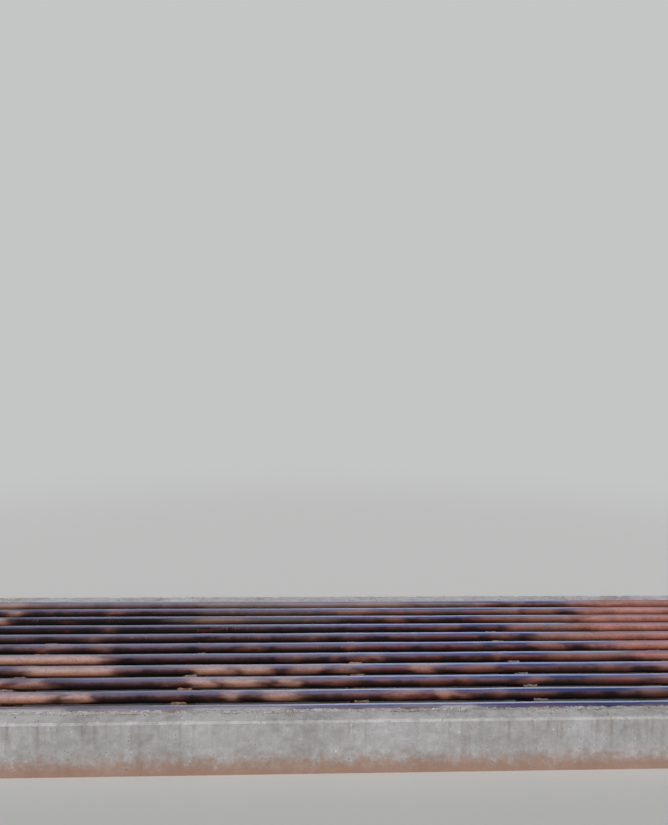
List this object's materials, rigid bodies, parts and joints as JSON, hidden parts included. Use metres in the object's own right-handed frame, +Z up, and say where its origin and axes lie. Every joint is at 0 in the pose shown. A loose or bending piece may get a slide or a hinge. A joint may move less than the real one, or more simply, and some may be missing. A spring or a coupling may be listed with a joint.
{
  "type": "cattle grid",
  "caption": "Cattle grid of round steel pipes laid across a road, welded down on rolled steel stringers that stand in pockets of concrete sills; rusty, with tyre-polished tops.",
  "frame": {"origin": "under the middle of the grid, on the floor of the pit that it stands in", "axes": "+X along the pipes, across the road; +Y along the road; +Z up"},
  "size_m": [7.3152, 2.1078, 0.3259],
  "materials": {
    "pipe_steel": "matte",
    "stringer_steel": "matte",
    "weld_steel": "matte",
    "concrete": "matte"
  },
  "bodies": {
    "root": {"pipe_01": "pipe_steel", "pipe_02": "pipe_steel", "pipe_03": "pipe_steel", "pipe_04": "pipe_steel", "pipe_05": "pipe_steel", "pipe_06": "pipe_steel", "pipe_07": "pipe_steel", "pipe_08": "pipe_steel", "pipe_09": "pipe_steel", "pipe_10": "pipe_steel", "pipe_11": "pipe_steel", "stringer_1": "stringer_steel", "stringer_2": "stringer_steel", "stringer_3": "stringer_steel", "stringer_4": "stringer_steel", "stringer_5": "stringer_steel", "stringer_6": "stringer_steel", "stringer_7": "stringer_steel", "stringer_1_welds": "weld_steel", "stringer_2_welds": "weld_steel", "stringer_3_welds": "weld_steel", "stringer_4_welds": "weld_steel", "stringer_5_welds": "weld_steel", "stringer_6_welds": "weld_steel", "stringer_7_welds": "weld_steel", "front_sill": "concrete", "back_sill": "concrete"}
  },
  "joints": []
}
